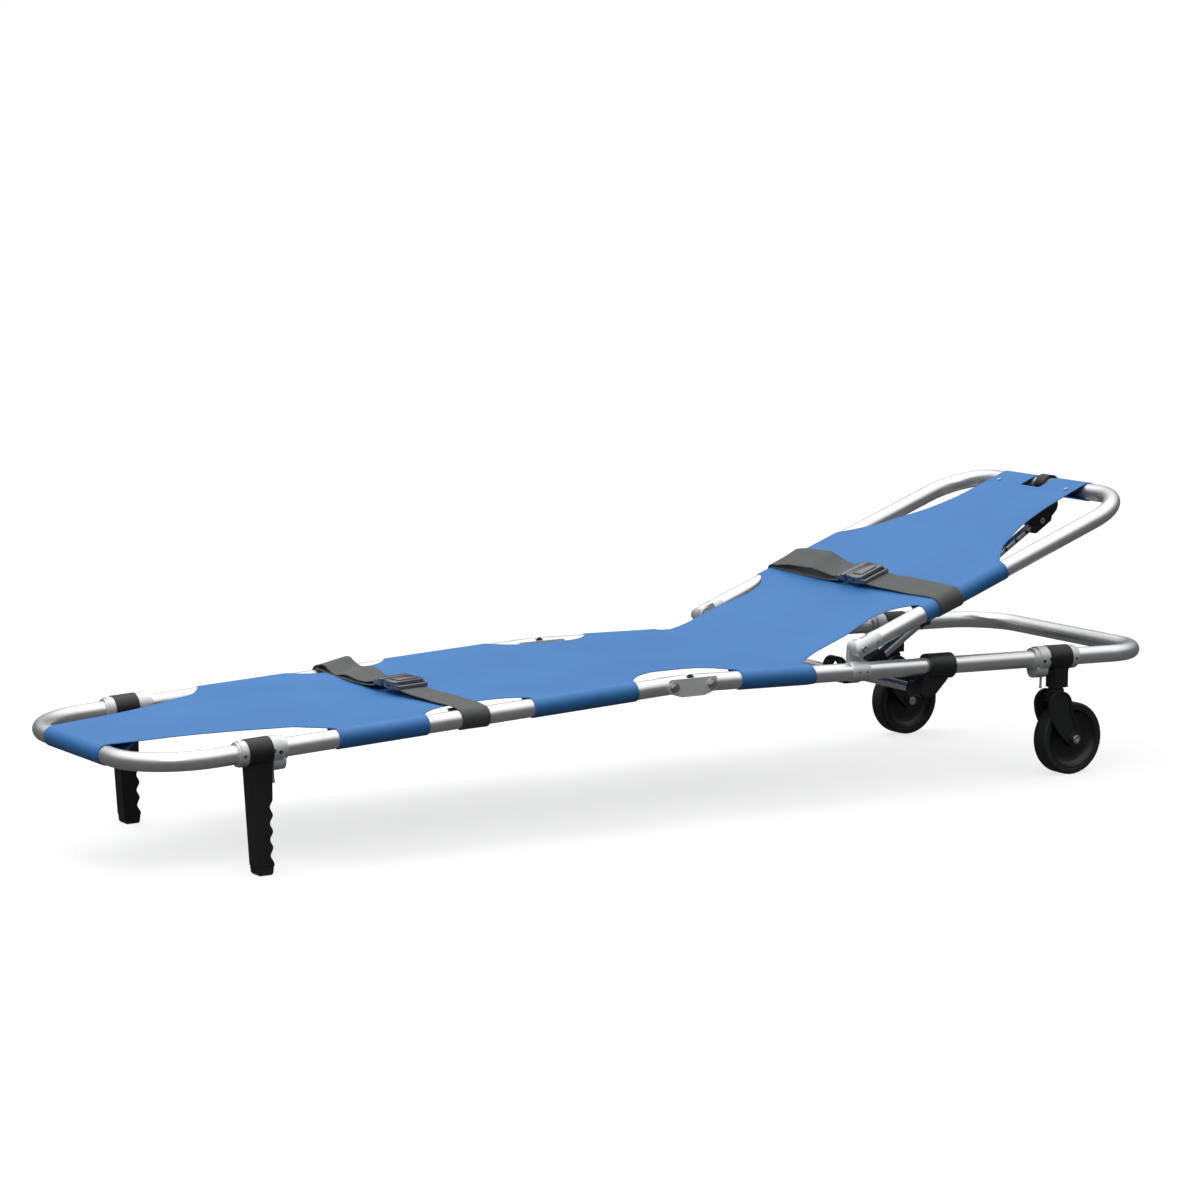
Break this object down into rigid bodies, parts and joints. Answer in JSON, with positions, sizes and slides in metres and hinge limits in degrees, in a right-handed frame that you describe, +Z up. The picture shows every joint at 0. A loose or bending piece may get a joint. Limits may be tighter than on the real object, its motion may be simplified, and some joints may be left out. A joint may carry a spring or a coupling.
{
  "type": "folding stretcher",
  "caption": "Folding emergency stretcher with a tube frame, blue sling deck, tilting backrest, folding grip legs at the foot end and folding swivel casters at the head end.",
  "frame": {"origin": "on the floor, at the centre of the bounding box's bottom face", "axes": "+X towards the head end with the backrest, +Y towards the far rail (the patient's right), +Z up"},
  "size_m": [1.9879, 0.5363, 0.4954],
  "materials": {
    "frame_tube": "satin drawn and anodised aluminium tube",
    "bracket": "satin pressed aluminium",
    "casting": "matte die-cast aluminium",
    "canvas": "blue coated oxford cloth, semi-matt",
    "webbing": "black woven webbing",
    "buckle": "dark moulded plastic",
    "moulding": "black moulded nylon, fine texture",
    "tyre": "dark solid rubber tread",
    "rubber": "black rubber",
    "fastener": "zinc plated steel"
  },
  "bodies": {
    "head_frame": {"base_rail": "frame_tube", "base_end_plugs": "moulding", "back_clamps": "casting", "back_pivot_pins": "fastener", "clamp_screws": "fastener", "stay_crossbar": "frame_tube", "crossbar_clips": "moulding", "caster_lock_collars": "casting", "caster_stop_collars": "casting", "base_collar_screws": "fastener", "canvas_mid": "canvas"},
    "fold_link": {"fold_brackets": "bracket", "fold_bolts": "fastener", "fold_nuts": "fastener"},
    "foot_frame": {"foot_rail": "frame_tube", "foot_end_plugs": "moulding", "leg_lock_collars": "casting", "leg_stop_collars": "casting", "foot_collar_screws": "fastener", "canvas_foot": "canvas", "foot_strap_near": "webbing", "foot_strap_far": "webbing", "foot_buckle_receiver": "buckle"},
    "foot_tongue": {"foot_buckle_tongue": "buckle"},
    "backrest": {"back_rail": "frame_tube", "back_knuckles": "casting", "knuckle_rivets": "fastener", "canvas_back": "canvas", "canvas_rivets": "fastener", "chest_strap_near": "webbing", "chest_strap_far": "webbing", "chest_buckle_receiver": "buckle"},
    "chest_tongue": {"chest_buckle_tongue": "buckle"},
    "stay_upper": {"stay_inner_tube": "frame_tube", "stay_head_bracket": "moulding", "stay_rivet": "fastener"},
    "stay_lower": {"stay_outer_tube": "frame_tube", "stay_yoke": "moulding", "stay_collar": "moulding"},
    "stay_latch": {"stay_latch": "moulding"},
    "leg_near": {"leg_near": "moulding", "leg_tip_near": "rubber"},
    "leg_far": {"leg_far": "moulding", "leg_tip_far": "rubber"},
    "leg_latch_near": {"leg_latch_near": "fastener"},
    "leg_latch_far": {"leg_latch_far": "fastener"},
    "caster_latch_near": {"caster_latch_near": "fastener"},
    "caster_latch_far": {"caster_latch_far": "fastener"},
    "caster_near": {"caster_leg_near": "moulding", "kingpin_near": "fastener"},
    "caster_far": {"caster_leg_far": "moulding", "kingpin_far": "fastener"},
    "fork_near": {"fork_near": "moulding", "axle_near": "fastener"},
    "fork_far": {"fork_far": "moulding", "axle_far": "fastener"},
    "wheel_near": {"wheel_near": "moulding", "tyre_near": "tyre"},
    "wheel_far": {"wheel_far": "moulding", "tyre_far": "tyre"}
  },
  "joints": [
    {"name": "link_fold", "type": "hinge", "parent": "head_frame", "child": "fold_link", "pos_m": [0.03335, 0, 0.2275], "axis": [0, -1, 0], "range_deg": [0, 75]},
    {"name": "foot_fold", "type": "hinge", "parent": "fold_link", "child": "foot_frame", "pos_m": [-0.04015, 0, 0.2275], "axis": [0, -1, 0], "range_deg": [0, 75]},
    {"name": "backrest_tilt", "type": "hinge", "parent": "head_frame", "child": "backrest", "pos_m": [0.3421, 0, 0.258], "axis": [0, -1, 0], "range_deg": [-21, 30]},
    {"name": "stay_swing", "type": "hinge", "parent": "backrest", "child": "stay_upper", "pos_m": [0.92828, 0, 0.47484], "axis": [0, -1, 0], "range_deg": [-2, 2.9]},
    {"name": "stay_telescope", "type": "slide", "parent": "stay_upper", "child": "stay_lower", "axis": [-0.8475, 0, -0.5308], "range_m": [-0.052, 0.0735]},
    {"name": "stay_latch_pull", "type": "slide", "parent": "stay_lower", "child": "stay_latch", "axis": [0, -1, 0], "range_m": [0, 0.006]},
    {"name": "leg_near_fold", "type": "hinge", "parent": "foot_frame", "child": "leg_near", "pos_m": [-0.79082, -0.24, 0.19223], "axis": [0.9989, 0, 0.0469], "range_deg": [0, 90]},
    {"name": "leg_far_fold", "type": "hinge", "parent": "foot_frame", "child": "leg_far", "pos_m": [-0.79082, 0.24, 0.19223], "axis": [-0.9989, 0, -0.0469], "range_deg": [0, 90]},
    {"name": "leg_latch_near_pull", "type": "slide", "parent": "foot_frame", "child": "leg_latch_near", "axis": [0.9989, 0, 0.0469], "range_m": [0, 0.008]},
    {"name": "leg_latch_far_pull", "type": "slide", "parent": "foot_frame", "child": "leg_latch_far", "axis": [0.9989, 0, 0.0469], "range_m": [0, 0.008]},
    {"name": "caster_near_fold", "type": "hinge", "parent": "head_frame", "child": "caster_near", "pos_m": [0.76007, -0.24, 0.2072], "axis": [0.9996, 0, -0.0279], "range_deg": [0, 90]},
    {"name": "caster_far_fold", "type": "hinge", "parent": "head_frame", "child": "caster_far", "pos_m": [0.76007, 0.24, 0.2072], "axis": [-0.9996, 0, 0.0279], "range_deg": [0, 90]},
    {"name": "caster_latch_near_pull", "type": "slide", "parent": "head_frame", "child": "caster_latch_near", "axis": [-0.9996, 0, 0.0279], "range_m": [0, 0.008]},
    {"name": "caster_latch_far_pull", "type": "slide", "parent": "head_frame", "child": "caster_latch_far", "axis": [-0.9996, 0, 0.0279], "range_m": [0, 0.008]},
    {"name": "swivel_near", "type": "hinge", "parent": "caster_near", "child": "fork_near", "pos_m": [0.7621, -0.24, 0.14], "axis": [0, 0, 1], "continuous": true},
    {"name": "swivel_far", "type": "hinge", "parent": "caster_far", "child": "fork_far", "pos_m": [0.7621, 0.24, 0.14], "axis": [0, 0, 1], "continuous": true},
    {"name": "wheel_near_spin", "type": "hinge", "parent": "fork_near", "child": "wheel_near", "pos_m": [0.7897, -0.24, 0.0635], "axis": [0, 1, 0], "continuous": true},
    {"name": "wheel_far_spin", "type": "hinge", "parent": "fork_far", "child": "wheel_far", "pos_m": [0.7897, 0.24, 0.0635], "axis": [0, 1, 0], "continuous": true},
    {"name": "chest_buckle_release", "type": "slide", "parent": "backrest", "child": "chest_tongue", "axis": [0, 1, 0], "range_m": [0, 0.032]},
    {"name": "foot_buckle_release", "type": "slide", "parent": "foot_frame", "child": "foot_tongue", "axis": [0, 1, 0], "range_m": [0, 0.032]}
  ],
  "couplings": [
    {"joint": "foot_fold", "follows": "link_fold", "ratio": 1},
    {"joint": "stay_swing", "follows": "backrest_tilt", "ratio": 0.094},
    {"joint": "stay_telescope", "follows": "backrest_tilt", "m_per_rad": 0.1387}
  ]
}
